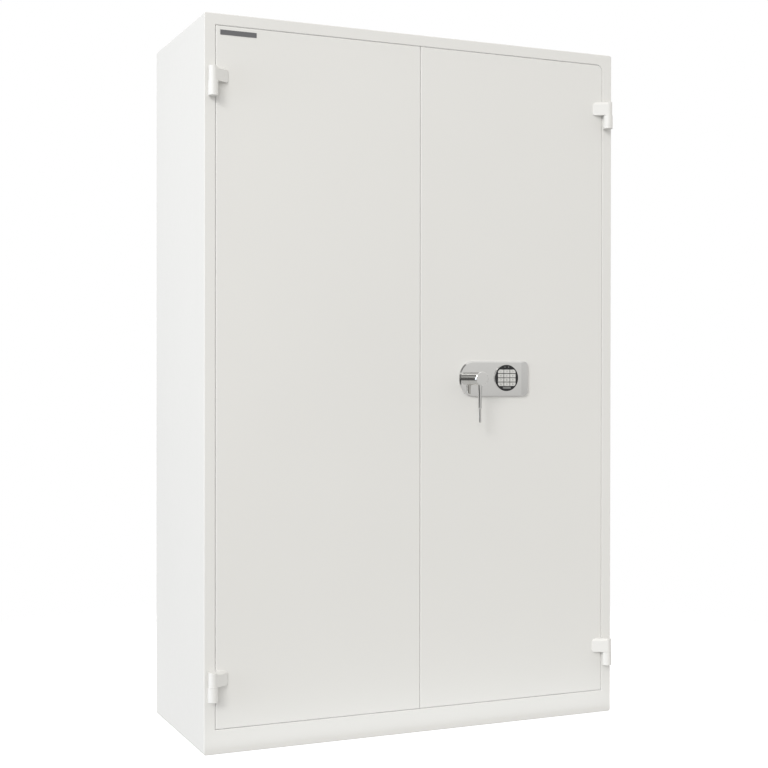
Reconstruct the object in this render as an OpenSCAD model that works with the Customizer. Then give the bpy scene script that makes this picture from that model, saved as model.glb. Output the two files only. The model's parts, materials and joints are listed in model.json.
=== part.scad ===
// Two-door steel office cabinet with double walls, outside lift-off hinges and
// a lever handle with a round keypad on the right door.
// The origin is on the floor at the middle of the body. +Z is up and -Y is the front.

/* [Body] */
// Width over the side panels
width = 1250; // [1000:10:1400]
// Depth from the front face to the back panel
depth = 500; // [420:10:650]
// Height from the floor to the top panel
height = 1950; // [1700:10:2100]
// Thickness of the outer steel sheet
sheet_t = 1.5; // [1:0.1:2.5]
// Outer radius of the four long corners of the shell
shell_r = 6; // [4:0.5:10]
// Whole thickness of a double wall, from outer to inner face
wall_t = 45; // [42:1:60]
// Thickness of the inner steel sheet
inner_t = 1; // [0.8:0.1:2]

/* [Front frame] */
// Width of the frame's face beside the doors
frame_side = 31; // [27:0.5:34]
// Height of the frame's face above the doors
frame_top = 31; // [27:0.5:40]
// Height of the frame's face below the doors
frame_bottom = 65; // [50:1:90]
// Thickness of the frame's steel
frame_t = 2; // [1.5:0.1:3]
// Depth of the frame's outer rim, which the shell is welded to
frame_rim = 8; // [7:0.5:15]
// Outer bend radius of the frame's outer rim
rim_bend_r = 2.5; // [2:0.1:4.5]
// Thickness of the seal on the door stop
seal_t = 1.7; // [1:0.1:3]
// Bare steel left on each side of the seal
seal_margin = 2; // [1:0.5:3]
// Clearance from the seal to a closed door
seal_gap = 0.3; // [0.1:0.1:1]

/* [Doors] */
// Thickness of a door
door_t = 50; // [44:1:56]
// Gap between a door and the frame
door_gap = 1; // [0.8:0.1:4]
// Gap between the two doors at their faces
meeting_gap = 1; // [0.6:0.1:4]
// Clearance of a door's inner corner from the middle as it swings
swing_clearance = 0.3; // [0.2:0.1:1]
// Thickness of a door's outer steel
skin_t = 2; // [1.5:0.1:3]
// Outer bend radius of the doors' front edges and of the opening's edge
bend_r = 2.5; // [2:0.1:3.5]
// Thickness of a door's inner cover
cover_t = 1.5; // [1:0.1:2.5]
// Thickness of the fire board in a door
board_t = 26; // [20:0.5:28]
// Radius of the right door's upper outer corner
door_corner_r = 20; // [5:1:40]

/* [Hinges] */
// Distance of a hinge's axis from the side panel
hinge_inset = 20.5; // [17:0.5:22]
// Distance of a hinge's axis in front of the doors
hinge_out = 14; // [14:0.5:18]
// Height of each half of a hinge
knuckle_h = 38.5; // [30:0.5:50]
// Distance of a hinge's parting line from the floor or the top
hinge_from_end = 181.5; // [120:0.5:300]
// Gap at the parting line
knuckle_gap = 0.3; // [0.2:0.1:1]
// Radius of the lower half, on the frame
base_r = 13.5; // [11:0.5:13.5]
// Radius of the upper half, on the door
leaf_r = 12; // [9:0.5:12]
// Distance of the leaf's far edge from the side panel
leaf_reach = 64; // [50:1:80]
// Thickness of the leaf at its far edge
leaf_edge_t = 2.5; // [1.5:0.5:4]
// Radius of the leaf's far corners
leaf_corner_r = 5; // [2:0.5:8]
// Radius of the leaf's upper far corner
leaf_top_r = 12; // [8:0.5:15]
// Height of the chamfer along the leaf's top
leaf_chamfer = 6.5; // [1:0.5:7]
// Diameter of the hinge pin
pin_d = 10; // [8:0.5:12]
// Length of the pin in each half of the hinge
pin_reach = 30; // [20:0.5:32]
// Radial clearance of the pin in the leaf
pin_play = 0.05; // [0.02:0.01:0.1]

/* [Lock fitting] */
// Distance of the handle's axis from the middle of the front
handle_x = 165; // [120:1:220]
// Height of the handle's axis above the floor
lock_z = 990.5; // [900:0.5:1100]
// Distance from the handle's axis to the keypad's
keypad_dx = 103; // [95:1:130]
// Height of the keypad's axis above the handle's
keypad_rise = 1.8; // [0:0.1:3]
// Height of the chrome plate
plate_h = 100; // [90:1:120]
// Reach of the plate past the handle's axis
plate_left = 46; // [40:1:60]
// Reach of the plate past the keypad's axis
plate_right = 73; // [66:1:90]
// Thickness of the plate
plate_t = 8; // [5:0.5:12]
// Radius of the plate's two left corners
plate_left_r = 45; // [20:1:45]
// Radius of the plate's two right corners
plate_right_r = 16; // [5:1:40]
// Width of the bevel round the plate
plate_bevel = 4; // [1:0.5:4.5]
// Width of the slope at the plate's right end
plate_slope_w = 24; // [10:1:26]
// Thickness that the plate loses over the slope
plate_slope_t = 3; // [1:0.5:3]

/* [Handle] */
// Diameter of the handle's hub
hub_d = 38.5; // [30:0.5:42]
// Reach of the hub in front of the door
hub_out = 58; // [52:1:65]
// Bevel at the hub's front edge
hub_bevel = 1.2; // [0.5:0.1:3]
// Length of the lever from its axis to its tip
lever_len = 125.5; // [110:0.5:150]
// Distance of the lever's middle in front of the door
lever_out = 43; // [30:1:46]
// Width of the lever where it leaves the hub
lever_root_w = 15; // [12:0.5:18]
// Width of the lever below its root
lever_neck_w = 12; // [10:0.5:13]
// Width of the lever's grip at its shoulder
lever_grip_w = 11; // [9:0.5:12]
// Distance of the shoulder from the lever's axis
lever_shoulder = 86; // [60:1:95]
// Width of the lever's thin end
lever_tip_w = 7.5; // [6:0.5:8]
// Thickness of the lever
lever_t = 9; // [7:0.5:12]
// Clearance between the hub and the plate
hub_gap = 0.3; // [0.2:0.1:1]
// Diameter of the spindle's round part
spindle_d = 13; // [12.8:0.1:16]
// Width of the spindle's square part
spindle_sq = 9; // [7:0.5:9]
// Diameter of the hole for the spindle in the skin and the board
spindle_hole = 16; // [14:0.5:22]
// Radial clearance of the spindle in its bearings
spindle_play = 0.05; // [0.02:0.01:0.1]

/* [Keypad] */
// Diameter of the keypad's flange
keypad_d = 75; // [72:0.5:80]
// Thickness of the flange
keypad_flange_t = 3; // [2:0.5:5]
// Diameter of the keypad's body in the plate
keypad_body_d = 71; // [70:0.5:72]
// Width of the raised ring round the flange
ring_w = 1.6; // [1:0.1:3]
// Height of the ring on the plate
ring_h = 1.5; // [0.5:0.1:2]
// Radius of the field that the keys lie in
key_field_r = 33.5; // [32:0.5:33.5]
// Distance from one column of keys to the next
key_pitch_x = 19.5; // [19:0.1:21]
// Distance from one row of keys to the next
key_pitch_z = 12.2; // [11:0.1:12.6]
// Gap between neighbouring keys
key_space = 2; // [1.6:0.1:3]
// Height of the key field's middle above the keypad's axis
key_lift = 0.5; // [0:0.5:2]
// Height of a key above the flange
key_proud = 0.5; // [0.3:0.1:2]
// Thickness of a key's cap
key_t = 4; // [3:0.5:5]
// Travel of a key
key_travel = 1; // [0.5:0.1:1.4]
// Clearance round and under a pressed key
key_play = 0.3; // [0.2:0.05:0.5]
// Width of the long key at the bottom
enter_w = 25; // [20:1:28]
// Height of the long key
enter_h = 6; // [4:0.5:7]

/* [Bolt work] */
// Module of the rack and pinion
gear_module = 2; // [1.8:0.1:2.2]
// Number of teeth on the pinion
pinion_teeth = 12; // [12:4:16]
// Pressure angle of the teeth
pressure_angle = 20; // [18:1:25]
// Height of a rack tooth above the pitch line, in modules
rack_addendum = 0.7; // [0.6:0.05:0.7]
// Height of a pinion tooth above the pitch circle, in modules
pinion_addendum = 0.8; // [0.6:0.05:0.8]
// Depth below the pitch line, in modules
dedendum = 0.95; // [0.9:0.05:1.2]
// Play between the flanks in mesh
backlash = 0.3; // [0.15:0.05:0.5]
// Face width of the pinion
pinion_w = 7; // [6:0.5:8]
// Diameter of the pinion's hub
pinion_hub_d = 17; // [15:0.5:18]
// Width of a locking rod
rod_w = 12; // [10:0.5:16]
// Thickness of a locking rod
rod_t = 6; // [5:0.5:8]
// Clearance round a rod in its guides
rod_play = 0.3; // [0.2:0.05:0.5]
// Clearance round a rod in the frame
socket_play = 1.5; // [1:0.5:3]
// Distance of a rod's tip below the door's edge when drawn back
rod_setback = 0.5; // [0.3:0.1:2]
// Chamfer at a rod's tip
rod_chamfer = 3; // [1:0.5:4]
// Height of a rod guide
guide_h = 16; // [10:1:30]
// Wall of a rod guide
guide_wall = 5; // [3:0.5:8]
// Distance of a guide's middle from the door's edge
guide_from_edge = 36; // [24:1:50]
// Width of the lock case
case_w = 90; // [80:1:110]
// Height of the lock case
case_h = 120; // [110:1:160]
// Wall of the lock case
case_wall = 2; // [1.5:0.5:3]
// Width of the electric blocking unit
blocker_w = 18; // [14:1:18]
// Height of the electric blocking unit
blocker_h = 30; // [24:1:34]
// Diameter of the blocking pin
blocker_pin_d = 4; // [3:0.5:4]
// Length of the blocking pin
blocker_pin_len = 22; // [16:1:24]
// Travel of the blocking pin
blocker_travel = 3; // [2:0.1:3]
// Gap between the drawn pin and the pinion's hub
blocker_gap = 0.8; // [0.5:0.1:1.5]

/* [Left door bolts] */
// Distance of the left door's bolts from its meeting edge
bolt_from_meeting = 40; // [25:1:80]
// Length of a bolt
bolt_len = 160; // [150:5:260]
// Throw of a bolt
bolt_throw = 18; // [12:1:20]
// Diameter of a bolt's finger knob
knob_d = 9; // [7:0.5:11]
// Reach of the knob past the door's inner cover
knob_out = 7; // [4:0.5:7]
// Distance of the knob from the bolt's inner end
knob_from_end = 15; // [10:1:30]

/* [Nameplate] */
// Width of the bare plate on the left door
nameplate_w = 100; // [60:1:140]
// Height of the bare plate
nameplate_h = 13; // [8:0.5:30]
// Thickness of the bare plate
nameplate_t = 1; // [0.5:0.1:2]
// Distance of the plate from the door's outer edge
nameplate_side = 11.5; // [5:0.5:40]
// Distance of the plate from the door's upper edge
nameplate_top = 10.5; // [5:0.5:40]

/* [Shelves] */
// Number of shelves
shelf_count = 4; // [2:1:4]
// Thickness of a shelf's sheet
shelf_t = 1.2; // [0.8:0.1:2]
// Height of a shelf's front and back flanges
shelf_flange = 25; // [20:1:35]
// Height of a shelf's side flanges
shelf_side_flange = 12; // [8:0.5:15]
// Width of the lip under a front or back flange
shelf_lip = 10; // [6:1:15]
// Distance of a shelf's front edge behind the door stop
shelf_setback = 26; // [20:1:60]
// Clearance between a shelf and what is beside or behind it
shelf_play = 0.5; // [0.3:0.1:2]
// Thickness of a shelf rail
rail_t = 3; // [2:0.5:5]
// Width of a shelf rail
rail_w = 25; // [20:1:35]
// Distance of a rail's middle from the front or back of the inside
rail_inset = 60; // [45:1:100]
// Distance of a rail's end from the inside floor or ceiling
rail_end = 30; // [10:1:60]
// Distance from one slot of a rail to the next
rail_pitch = 50; // [25:25:50]
// Width of a rail's slot
slot_w = 14; // [10:0.5:16]
// Height of a rail's slot
slot_h = 4; // [3:0.5:6]
// Width of a shelf clip
clip_w = 20; // [16:1:24]
// Reach of a clip from its rail
clip_reach = 14; // [10:1:20]
// Clearance of a clip's tongue in its slot
clip_play = 0.2; // [0.1:0.05:0.4]

/* [Hidden] */
$fn = 64;
// A cut passes this far beyond what it cuts
past = 1;
// Smallest thickness that a hull is stretched between
thin = 0.01;

// Limits of the body
side_x = width / 2;
front_y = -depth / 2;
back_y = depth / 2;

// The opening in the frame, and the inside behind it
open_x = side_x - frame_side;
open_z0 = frame_bottom;
open_z1 = height - frame_top;
open_r = door_corner_r + door_gap;
stop_w = wall_t - frame_side;
stop_y = front_y + door_t + seal_gap + seal_t;
inside_x = side_x - wall_t;
shell_y0 = front_y + frame_rim;
inside_y0 = stop_y + frame_t;
inside_y1 = back_y - wall_t;
inside_z0 = open_z0 + stop_w;
inside_z1 = open_z1 - stop_w;

// The hinge axes
hinge_x = side_x - hinge_inset;
hinge_y = front_y - hinge_out;
HINGES = [
    ["left_top", -1, height - hinge_from_end],
    ["left_bottom", -1, hinge_from_end],
    ["right_top", 1, height - hinge_from_end],
    ["right_bottom", 1, hinge_from_end],
];

// The meeting edge of each door slopes back from its bend, so that the door's inner corner,
// which swings on a wider circle than its face, stays on its own side of the middle
meeting_x = meeting_gap / 2;
inner_corner_x = hinge_x - sqrt(pow(hinge_x, 2) - pow(door_t + hinge_out, 2)) + swing_clearance;
meeting_grade = (inner_corner_x - meeting_x) / (door_t - bend_r);
door_x = open_x - door_gap;
door_z0 = open_z0 + door_gap;
door_z1 = open_z1 - door_gap;

// Depths inside a door, behind its front face
work_d0 = skin_t + board_t;
work_d1 = door_t - cover_t;
work_d = (work_d0 + work_d1) / 2;

// The keypad's axis and the plate
keypad_x = handle_x + keypad_dx;
keypad_z = lock_z + keypad_rise;
keypad_face = plate_t + keypad_flange_t;
pocket_floor = keypad_face + key_proud - key_t - key_travel - key_play;

// The rack and pinion
pitch_r = gear_module * pinion_teeth / 2;
tip_r = pitch_r + pinion_addendum * gear_module;
root_r = pitch_r - dedendum * gear_module;
base_circle_r = pitch_r * cos(pressure_angle);
tooth_pitch = PI * gear_module;
tooth_w = tooth_pitch / 2 - backlash / 2;
flank_steps = 6;
rack_tip = rack_addendum * gear_module;
rack_root = dedendum * gear_module;
travel_teeth = pinion_teeth / 4;
rod_dx = pitch_r + rack_root + rod_w / 2;
rod_top_x = handle_x - rod_dx;
rod_bottom_x = handle_x + rod_dx;

// Reach of the spindle into the hub
spindle_out = hub_out - 12;

// Depth of the pinion's rear hub at its middle, where the blocking pin drops in
blocker_d = (work_d + pinion_w / 2 + work_d1) / 2;

// The left door's bolts, with the heights of their knobs
bolt_x = -(meeting_x + bolt_from_meeting);
knob_depth = rod_setback + bolt_len - knob_from_end;
knob_top_z = door_z1 - knob_depth;
knob_bottom_z = door_z0 + knob_depth;
inner_guide = knob_depth - bolt_throw - (knob_d + guide_h) / 2 - guide_wall;

// Shelves stand on whole steps of the rails
shelf_step = floor((inside_z1 - inside_z0) / (shelf_count + 1) / rail_pitch) * rail_pitch;
shelf_x = inside_x - rail_t - shelf_play;
shelf_y0 = inside_y0 + shelf_setback;
shelf_y1 = inside_y1 - shelf_play;
rail_y = [inside_y0 + rail_inset, inside_y1 - rail_inset];
// Height of a slot's middle below the top of a shelf that hangs on it
slot_drop = shelf_side_flange + slot_h / 2 - clip_play;
function slot_z(i) = inside_z0 + i * rail_pitch - slot_drop;
function shelf_z(i) = inside_z0 + i * shelf_step;

KEY_NAMES = [
    "key_1", "key_2", "key_3",
    "key_4", "key_5", "key_6",
    "key_7", "key_8", "key_9",
    "key_star", "key_0", "key_hash",
];
KEY_COLUMNS = 3;
KEY_ROWS = len(KEY_NAMES) / KEY_COLUMNS;

// Colours of the steel, the chrome and the rest
PAINT = [0.87, 0.87, 0.85];
INNER_PAINT = [0.8, 0.8, 0.79];
BOARD = [0.85, 0.82, 0.75];
CHROME = [0.75, 0.76, 0.78];
ZINC = [0.66, 0.67, 0.7];
BLACK = [0.1, 0.1, 0.11];
KEY_GREY = [0.8, 0.8, 0.8];

// A box between two limits on each axis
module slab(x0, x1, y0, y1, z0, z1) {
    translate([x0, y0, z0]) cube([x1 - x0, y1 - y0, z1 - z0]);
}

// A flat shape drawn in X and Z, made into a sheet that lies between y0 and y1
module sheet(y0, y1) {
    translate([0, y1, 0]) rotate([90, 0, 0]) linear_extrude(y1 - y0) children();
}

// A round bar along Y between two distances in front of the doors
module bar(d, out0, out1) {
    translate([0, front_y - out0, 0]) rotate([90, 0, 0]) cylinder(d = d, h = out1 - out0);
}

// A square bar along Y between two distances in front of the doors
module square_bar(w, out0, out1) {
    slab(-w / 2, w / 2, front_y - out1, front_y - out0, -w / 2, w / 2);
}

module at_handle() {
    translate([handle_x, 0, lock_z]) children();
}

module at_keypad() {
    translate([keypad_x, 0, keypad_z]) children();
}

// A rectangle with one radius at its left corners and one at its right corners
module rounded_2d(x0, x1, z0, z1, left_r, right_r) {
    translate([x0 + left_r, z0]) square([x1 - x0 - left_r - right_r, z1 - z0]);
    translate([x0, z0 + left_r]) square([x1 - x0 - right_r, z1 - z0 - 2 * left_r]);
    translate([x0 + left_r, z0 + right_r]) square([x1 - x0 - left_r, z1 - z0 - 2 * right_r]);
    for (z = [z0 + left_r, z1 - left_r]) translate([x0 + left_r, z]) circle(left_r);
    for (z = [z0 + right_r, z1 - right_r]) translate([x1 - right_r, z]) circle(right_r);
}

// A rectangle whose upper right corner has a radius
module panel_2d(x0, x1, z0, z1, r) {
    difference() {
        translate([x0, z0]) square([x1 - x0, z1 - z0]);
        if (r > 0) translate([x1 - r, z1 - r]) difference() {
            square(r + past);
            circle(r);
        }
    }
}

// What a bend takes off a square edge: across the edge in X, and back from the face in Y
module bend_2d(r) {
    difference() {
        translate([-past, -past]) square(r + past);
        translate([r, r]) circle(r, $fn = 32);
    }
}

// The bend along an upright edge of the front at x, with its metal on the side given by side
module upright_bend(x, z0, z1, side, r) {
    translate([x, front_y, z0]) scale([side, 1, 1]) linear_extrude(z1 - z0) bend_2d(r);
}

// The bend along a level edge of the front at z, with its metal on the side given by side
module level_bend(z, x0, x1, side, r) {
    translate([x0, front_y, z]) scale([1, 1, side]) mirror([1, 0, -1]) linear_extrude(x1 - x0) bend_2d(r);
}

// The bend round a corner of a panel: a radius of corner_r about x and z, in the quarter given
module corner_bend(x, z, x_side, z_side, corner_r, r) {
    reach = corner_r + past;
    translate([x, front_y, z]) scale([x_side, 1, z_side]) intersection() {
        rotate([-90, 0, 0]) rotate_extrude() translate([corner_r, 0]) mirror([1, 0]) bend_2d(r);
        translate([0, -past, 0]) cube([reach, r + past, reach]);
    }
}

// All that the bends take off the front edge of a panel, whose upper right corner has a radius
module panel_bends(x0, x1, z0, z1, corner_r, r) {
    upright_bend(x0, z0 - past, z1 + past, 1, r);
    upright_bend(x1, z0 - past, z1 + past, -1, r);
    level_bend(z0, x0 - past, x1 + past, 1, r);
    level_bend(z1, x0 - past, x1 + past, -1, r);
    if (corner_r > 0) corner_bend(x1 - corner_r, z1 - corner_r, 1, 1, corner_r, r);
}

// The outline of the body, drawn in by inset
module shell_2d(inset) {
    r = shell_r - inset;
    rounded_2d(-side_x + inset, side_x - inset, inset, height - inset, r, r);
}

// The opening for the doors, drawn out by grow
module opening_2d(grow) {
    panel_2d(-open_x - grow, open_x + grow, open_z0 - grow, open_z1 + grow, open_r + grow);
}

// The outline of the right door, or of the left door when mirrored, drawn in by inset
module door_2d(inset, r) {
    panel_2d(meeting_x + inset, door_x - inset, door_z0 + inset, door_z1 - inset, r - inset);
}

module side_panel(side) {
    color(PAINT) scale([side, 1, 1])
        slab(side_x - sheet_t, side_x, shell_y0, back_y, shell_r, height - shell_r);
}

// The part of the shell that lies between two heights, with its rounded corners
module shell_band(z0, z1) {
    color(PAINT) sheet(shell_y0, back_y) intersection() {
        difference() {
            shell_2d(0);
            shell_2d(sheet_t);
        }
        translate([-side_x, z0]) square([width, z1 - z0]);
    }
}

module top_panel() {
    shell_band(height - shell_r, height);
}

module floor_panel() {
    shell_band(0, shell_r);
}

module back_panel() {
    color(PAINT) sheet(back_y - sheet_t, back_y) shell_2d(sheet_t);
}

// A slot for a rod or bolt, through the frame above or below the doors
module socket(x) {
    w = rod_w / 2 + socket_play;
    t = rod_t / 2 + socket_play;
    y = front_y + work_d;
    slab(x - w, x + w, y - t, y + t, -frame_t - past, past);
}

// What the bends take off the frame's rim, all round the body
module rim_bends() {
    x = side_x - shell_r;
    panel_bends(-side_x, side_x, 0, height, shell_r, rim_bend_r);
    corner_bend(x, shell_r, 1, -1, shell_r, rim_bend_r);
    corner_bend(-x, shell_r, -1, -1, shell_r, rim_bend_r);
    corner_bend(-x, height - shell_r, -1, 1, shell_r, rim_bend_r);
}

// What the bend takes off the face round the opening, swept round each of its corners
module mouth_bends() {
    upright_bend(-open_x, open_z0, open_z1, -1, bend_r);
    upright_bend(open_x, open_z0, open_z1 - open_r, 1, bend_r);
    level_bend(open_z0, -open_x, open_x, -1, bend_r);
    level_bend(open_z1, -open_x, open_x - open_r, 1, bend_r);
    for (c = [[-open_x, open_z0, 0], [open_x, open_z0, 0], [-open_x, open_z1, 0],
              [open_x - open_r, open_z1 - open_r, open_r]])
        translate([c[0], front_y, c[1]]) rotate([-90, 0, 0]) rotate_extrude() intersection() {
            translate([c[2], 0]) bend_2d(bend_r);
            translate([0, -past]) square(open_r + bend_r + past);
        }
}

// The face with its rim, the jambs that run back beside the doors, and the stop that they
// close on
module front_frame() {
    color(PAINT) difference() {
        union() {
            difference() {
                sheet(front_y, shell_y0) shell_2d(0);
                sheet(front_y + frame_t, shell_y0 + past) shell_2d(sheet_t);
            }
            sheet(front_y, inside_y0) opening_2d(frame_t);
        }
        sheet(front_y - past, stop_y) opening_2d(0);
        sheet(stop_y - past, inside_y0 + past) opening_2d(-stop_w);
        rim_bends();
        mouth_bends();
        for (x = [rod_top_x, bolt_x]) translate([0, 0, open_z1 + frame_t]) socket(x);
        for (x = [rod_bottom_x, bolt_x]) translate([0, 0, open_z0]) socket(x);
    }
}

module door_seal() {
    color(BLACK) sheet(stop_y - seal_t, stop_y) difference() {
        opening_2d(-seal_margin);
        opening_2d(-(stop_w - seal_margin));
    }
}

module liner_side(side) {
    color(INNER_PAINT) scale([side, 1, 1])
        slab(inside_x, inside_x + inner_t, inside_y0, inside_y1, inside_z0, inside_z1);
}

module liner_level(z0) {
    x = inside_x + inner_t;
    color(INNER_PAINT) slab(-x, x, inside_y0, inside_y1 + inner_t, z0, z0 + inner_t);
}

module liner_back() {
    x = inside_x + inner_t;
    color(INNER_PAINT) slab(-x, x, inside_y1, inside_y1 + inner_t, inside_z0, inside_z1);
}

// The filling between the outer and the inner sheets
module wall_insulation() {
    x = inside_x + inner_t;
    color(BOARD) difference() {
        sheet(inside_y0, back_y - sheet_t) shell_2d(sheet_t);
        slab(-x, x, inside_y0 - past, inside_y1 + inner_t, inside_z0 - inner_t, inside_z1 + inner_t);
    }
}

// One slotted rail, on the right side of the inside
module shelf_rail(y) {
    z0 = inside_z0 + rail_end;
    z1 = inside_z1 - rail_end;
    first = ceil((z0 + slot_h + slot_drop - inside_z0) / rail_pitch);
    last = floor((z1 - slot_h + slot_drop - inside_z0) / rail_pitch);
    difference() {
        slab(inside_x - rail_t, inside_x, y - rail_w / 2, y + rail_w / 2, z0, z1);
        for (i = [first : last]) slab(
            inside_x - rail_t - past, inside_x + past,
            y - slot_w / 2, y + slot_w / 2,
            slot_z(i) - slot_h / 2, slot_z(i) + slot_h / 2
        );
    }
}

module shelf_rails() {
    color(ZINC) for (side = [-1, 1], y = rail_y) scale([side, 1, 1]) shelf_rail(y);
}

// A clip: a tongue in the rail's slot, and a ledge with an upturned back under the shelf
module shelf_clip(y, ledge_z) {
    rail_face = inside_x - rail_t;
    tongue_w = slot_w / 2 - clip_play;
    tongue_t = slot_h - 2 * clip_play;
    half = clip_w / 2;
    slab(rail_face - past, inside_x, y - tongue_w, y + tongue_w, ledge_z - tongue_t, ledge_z);
    slab(rail_face - clip_reach, rail_face, y - half, y + half, ledge_z - tongue_t, ledge_z);
    slab(rail_face - tongue_t, rail_face, y - half, y + half, ledge_z - shelf_side_flange, ledge_z);
}

module shelf_clips() {
    color(ZINC) for (i = [1 : shelf_count], side = [-1, 1], y = rail_y)
        scale([side, 1, 1]) shelf_clip(y, shelf_z(i) - shelf_side_flange);
}

// A folded shelf: flanges with lips at the front and back, and low flanges at the sides
module shelf(i) {
    z = shelf_z(i);
    under = z - shelf_flange;
    color(INNER_PAINT) difference() {
        slab(-shelf_x, shelf_x, shelf_y0, shelf_y1, under, z);
        slab(-shelf_x + shelf_t, shelf_x - shelf_t, shelf_y0 + shelf_t, shelf_y1 - shelf_t,
             under + shelf_t, z - shelf_t);
        slab(-shelf_x - past, shelf_x + past, shelf_y0 + shelf_lip, shelf_y1 - shelf_lip,
             under - past, under + shelf_t + past);
        for (side = [-1, 1]) scale([side, 1, 1])
            slab(shelf_x - shelf_t - past, shelf_x + past, shelf_y0 + shelf_t, shelf_y1 - shelf_t,
                 under - past, z - shelf_side_flange);
    }
}

// The lower half of a hinge: a barrel on the frame's face, bored for its pin
module hinge_base(side, z) {
    foot = frame_side - bend_r - hinge_inset;
    translate([side * hinge_x, hinge_y, z - knuckle_h]) difference() {
        union() {
            cylinder(r = base_r, h = knuckle_h);
            slab(-foot, foot, 0, hinge_out, 0, knuckle_h);
        }
        translate([0, 0, knuckle_h - pin_reach]) cylinder(d = pin_d, h = pin_reach + past);
    }
}

module hinge_bases(side) {
    color(PAINT) for (h = HINGES) if (h[1] == side) hinge_base(side, h[2]);
}

// Where a tangent from a point meets the barrel of the leaf, on the side given by turn
function tangent(p, turn) =
    let (a = atan2(p[1], p[0]) + turn * acos(leaf_r / norm(p)))
    [leaf_r * cos(a), leaf_r * sin(a)];

// The leaf's front corner at its far edge, and where its face leaves the barrel
edge_x = leaf_reach - hinge_inset;
edge_y = hinge_out - leaf_edge_t;
leaf_root = tangent([edge_x, edge_y], -1);

// The upper half of a hinge, seen from above: a barrel that tapers to a leaf on the door
module leaf_2d() {
    heel_x = side_x - door_x - hinge_inset + bend_r;
    circle(leaf_r);
    polygon([
        leaf_root,
        [edge_x, edge_y],
        [edge_x, hinge_out],
        [heel_x, hinge_out],
        tangent([heel_x, hinge_out], 1),
        [0, 0],
    ]);
}

module hinge_leaf(side, z) {
    x0 = -leaf_r - past;
    turn = atan2(edge_y - leaf_root[1], edge_x - leaf_root[0]);
    color(PAINT) translate([side * hinge_x, hinge_y, z + knuckle_gap]) scale([-side, 1, 1]) difference() {
        intersection() {
            linear_extrude(knuckle_h) leaf_2d();
            translate([0, hinge_out + past, 0]) rotate([90, 0, 0])
                linear_extrude(hinge_out + leaf_r + 2 * past) intersection() {
                    rounded_2d(x0, edge_x, 0, knuckle_h, 0, leaf_corner_r);
                    panel_2d(x0, edge_x, 0, knuckle_h, leaf_top_r);
                }
        }
        translate([0, 0, -past]) cylinder(r = pin_d / 2 + pin_play, h = pin_reach + past);
        translate([leaf_root[0], leaf_root[1], knuckle_h - leaf_chamfer]) rotate([0, 0, turn])
            rotate([45, 0, 0]) translate([0, -leaf_chamfer, 0])
                cube([leaf_reach, 3 * leaf_chamfer, 2 * leaf_chamfer]);
    }
}

module hinge_pins() {
    color(ZINC) for (h = HINGES)
        translate([h[1] * hinge_x, hinge_y, h[2] - pin_reach]) cylinder(d = pin_d, h = 2 * pin_reach);
}

// A layer of a door between two depths, drawn in by inset, with its sloping meeting edge
module door_layer(d0, d1, inset, r) {
    x = meeting_x + inset;
    back = d1 + past;
    difference() {
        sheet(front_y + d0, front_y + d1) door_2d(inset, r);
        translate([0, front_y, door_z0 - past]) linear_extrude(door_z1 - door_z0 + 2 * past) polygon([
            [x - past, bend_r],
            [x, bend_r],
            [x + meeting_grade * (back - bend_r), back],
            [x - past, back],
        ]);
    }
}

// The outer pan of a door: its face and four edges, with a bend between them
module door_skin(r) {
    difference() {
        door_layer(0, work_d1, 0, r);
        door_layer(skin_t, work_d1 + past, skin_t, r);
        panel_bends(meeting_x, door_x, door_z0, door_z1, r, bend_r);
    }
}

// A slot for a rod or bolt, through the door's upper or lower edge
module edge_slot(x, z, play) {
    w = rod_w / 2 + play;
    t = rod_t / 2 + play;
    y = front_y + work_d;
    slab(x - w, x + w, y - t, y + t, z - skin_t - past, z + skin_t + past);
}

module door_board(r) {
    door_layer(skin_t, work_d0, skin_t, r);
}

module door_cover(r) {
    door_layer(work_d1, door_t, 0, r);
}

// A block that a rod slides through, held between the board and the inner cover
module guide(x, z) {
    w = rod_w / 2 + guide_wall;
    difference() {
        slab(x - w, x + w, front_y + work_d0, front_y + work_d1, z - guide_h / 2, z + guide_h / 2);
        translate([0, 0, z]) slab(
            x - rod_w / 2 - rod_play, x + rod_w / 2 + rod_play,
            front_y + work_d - rod_t / 2 - rod_play, front_y + work_d + rod_t / 2 + rod_play,
            -guide_h / 2 - past, guide_h / 2 + past
        );
    }
}

module left_skin() {
    color(PAINT) difference() {
        mirror([1, 0, 0]) door_skin(0);
        for (z = [door_z0, door_z1]) edge_slot(bolt_x, z, rod_play);
    }
}

module left_board() {
    color(BOARD) mirror([1, 0, 0]) door_board(0);
}

// The inner cover of the left door, with a slot for each bolt's knob
module left_cover() {
    w = knob_d / 2 + rod_play;
    y0 = front_y + work_d1 - past;
    y1 = front_y + work_d1 + cover_t + past;
    color(INNER_PAINT) difference() {
        mirror([1, 0, 0]) door_cover(0);
        slab(bolt_x - w, bolt_x + w, y0, y1, knob_top_z - w, knob_top_z + bolt_throw + w);
        slab(bolt_x - w, bolt_x + w, y0, y1, knob_bottom_z - bolt_throw - w, knob_bottom_z + w);
    }
}

// A rod's outline with its chamfered tip at the top, from z0 to z1
function rod_outline(x0, x1, z0, z1) = [
    [x1, z0],
    [x1, z1 - rod_chamfer],
    [x1 - rod_chamfer, z1],
    [x0 + rod_chamfer, z1],
    [x0, z1 - rod_chamfer],
    [x0, z0],
];

// A bolt that points up, with its knob on the inside of the door
module left_bolt(z1) {
    z0 = z1 - bolt_len;
    color(ZINC) {
        sheet(front_y + work_d - rod_t / 2, front_y + work_d + rod_t / 2)
            polygon(rod_outline(-rod_w / 2, rod_w / 2, z0, z1));
        translate([0, 0, z0 + knob_from_end]) bar(knob_d, -door_t - knob_out, -work_d);
    }
}

module left_bolt_top() {
    translate([bolt_x, 0, 0]) left_bolt(door_z1 - rod_setback);
}

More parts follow.
